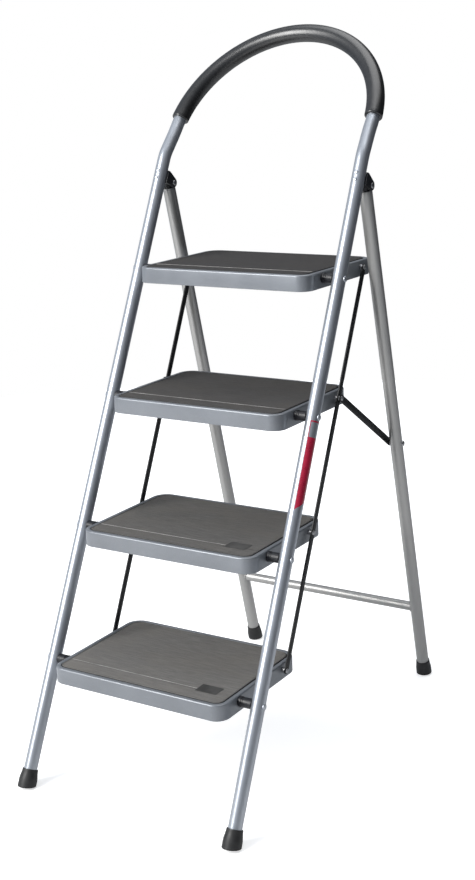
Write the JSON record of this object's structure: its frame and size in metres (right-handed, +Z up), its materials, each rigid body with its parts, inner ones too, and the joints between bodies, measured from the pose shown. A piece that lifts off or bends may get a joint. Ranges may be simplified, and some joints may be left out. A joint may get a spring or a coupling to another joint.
{
  "type": "folding platform step ladder",
  "caption": "Folding steel step ladder with wide matted treads, a padded grab loop over the top platform and a rear frame that folds in behind the stiles.",
  "frame": {"origin": "on the ground, at the centre of the open ladder's footprint", "axes": "+Z up, the ladder is climbed from -Y towards +Y, +X to the climber's right"},
  "size_m": [0.4824, 0.8438, 1.3604],
  "materials": {
    "stile_paint": "glossy silver-grey paint",
    "leg_paint": "glossy silver-grey paint, slightly warmer",
    "tread_paint": "satin mid-grey paint",
    "mat_rubber": "matt ribbed rubber",
    "grip_foam": "soft satin foam",
    "foot_rubber": "matt rubber",
    "bracket_plastic": "matt moulded plastic",
    "bar_paint": "satin black paint",
    "rivet_steel": "plain bright steel"
  },
  "bodies": {
    "front_frame": {"bracket_rivet_1_left": "rivet_steel", "bracket_rivet_1_right": "rivet_steel", "bracket_rivet_2_left": "rivet_steel", "bracket_rivet_2_right": "rivet_steel", "front_foot_left": "foot_rubber", "front_foot_right": "foot_rubber", "front_frame_tube": "stile_paint", "handle_grip": "grip_foam", "hinge_bracket_left": "bracket_plastic", "hinge_bracket_right": "bracket_plastic", "leg_pin_left": "rivet_steel", "leg_pin_right": "rivet_steel", "tread_bush_1_left": "bracket_plastic", "tread_bush_1_right": "bracket_plastic", "tread_bush_2_left": "bracket_plastic", "tread_bush_2_right": "bracket_plastic", "tread_bush_3_left": "bracket_plastic", "tread_bush_3_right": "bracket_plastic", "tread_bush_4_left": "bracket_plastic", "tread_bush_4_right": "bracket_plastic", "tread_pin_1_left": "rivet_steel", "tread_pin_1_right": "rivet_steel", "tread_pin_2_left": "rivet_steel", "tread_pin_2_right": "rivet_steel", "tread_pin_3_left": "rivet_steel", "tread_pin_3_right": "rivet_steel", "tread_pin_4_left": "rivet_steel", "tread_pin_4_right": "rivet_steel"},
    "rear_frame": {"brace_bolt_left": "rivet_steel", "brace_bolt_right": "rivet_steel", "brace_spacer_left": "rivet_steel", "brace_spacer_right": "rivet_steel", "rear_cross_tube": "leg_paint", "rear_foot_left": "foot_rubber", "rear_foot_right": "foot_rubber", "rear_leg_left": "leg_paint", "rear_leg_right": "leg_paint"},
    "tread_1": {"link_rivet_1_left": "rivet_steel", "link_rivet_1_right": "rivet_steel", "tread_1": "tread_paint", "tread_mat_1": "mat_rubber"},
    "tread_2": {"link_rivet_2_left": "rivet_steel", "link_rivet_2_right": "rivet_steel", "tread_2": "tread_paint", "tread_mat_2": "mat_rubber"},
    "tread_3": {"link_rivet_3_left": "rivet_steel", "link_rivet_3_right": "rivet_steel", "tread_3": "tread_paint", "tread_mat_3": "mat_rubber"},
    "tread_4": {"link_rivet_4_left": "rivet_steel", "link_rivet_4_right": "rivet_steel", "tread_4": "tread_paint", "tread_mat_4": "mat_rubber"},
    "link_bar_left": {"link_bar_left": "bar_paint"},
    "brace_left": {"brace_left": "bar_paint", "brace_rivet_left": "rivet_steel"},
    "link_bar_right": {"link_bar_right": "bar_paint"},
    "brace_right": {"brace_right": "bar_paint", "brace_rivet_right": "rivet_steel"}
  },
  "joints": [
    {"name": "rear_frame_fold", "type": "hinge", "parent": "front_frame", "child": "rear_frame", "pos_m": [0, 0.13887, 1.066], "axis": [-1, 0, 0], "range_deg": [0, 38]},
    {"name": "tread_1_fold", "type": "hinge", "parent": "front_frame", "child": "tread_1", "pos_m": [0, -0.29789, 0.22], "axis": [1, 0, 0], "range_deg": [0, 57]},
    {"name": "tread_2_fold", "type": "hinge", "parent": "front_frame", "child": "tread_2", "pos_m": [0, -0.18818, 0.45], "axis": [1, 0, 0], "range_deg": [0, 57]},
    {"name": "tread_3_fold", "type": "hinge", "parent": "front_frame", "child": "tread_3", "pos_m": [0, -0.07848, 0.68], "axis": [1, 0, 0], "range_deg": [0, 57]},
    {"name": "tread_4_fold", "type": "hinge", "parent": "front_frame", "child": "tread_4", "pos_m": [0, 0.03123, 0.91], "axis": [1, 0, 0], "range_deg": [0, 57]},
    {"name": "link_bar_left_pivot", "type": "hinge", "parent": "tread_4", "child": "link_bar_left", "pos_m": [0, 0.17923, 0.91], "axis": [-1, 0, 0], "range_deg": [0, 57]},
    {"name": "brace_left_pivot", "type": "hinge", "parent": "rear_frame", "child": "brace_left", "pos_m": [0, 0.27173, 0.54655], "axis": [-1, 0, 0], "range_deg": [0, 37.45]},
    {"name": "link_bar_right_pivot", "type": "hinge", "parent": "tread_4", "child": "link_bar_right", "pos_m": [0, 0.17923, 0.91], "axis": [-1, 0, 0], "range_deg": [0, 57]},
    {"name": "brace_right_pivot", "type": "hinge", "parent": "rear_frame", "child": "brace_right", "pos_m": [0, 0.27173, 0.54655], "axis": [-1, 0, 0], "range_deg": [0, 37.45]}
  ],
  "couplings": [
    {"joint": "tread_1_fold", "follows": "rear_frame_fold", "ratio": 1.5},
    {"joint": "tread_2_fold", "follows": "rear_frame_fold", "ratio": 1.5},
    {"joint": "tread_3_fold", "follows": "rear_frame_fold", "ratio": 1.5},
    {"joint": "tread_4_fold", "follows": "rear_frame_fold", "ratio": 1.5},
    {"joint": "link_bar_left_pivot", "follows": "rear_frame_fold", "ratio": 1.5},
    {"joint": "brace_left_pivot", "follows": "rear_frame_fold", "ratio": 0.9855},
    {"joint": "link_bar_right_pivot", "follows": "rear_frame_fold", "ratio": 1.5},
    {"joint": "brace_right_pivot", "follows": "rear_frame_fold", "ratio": 0.9855}
  ]
}
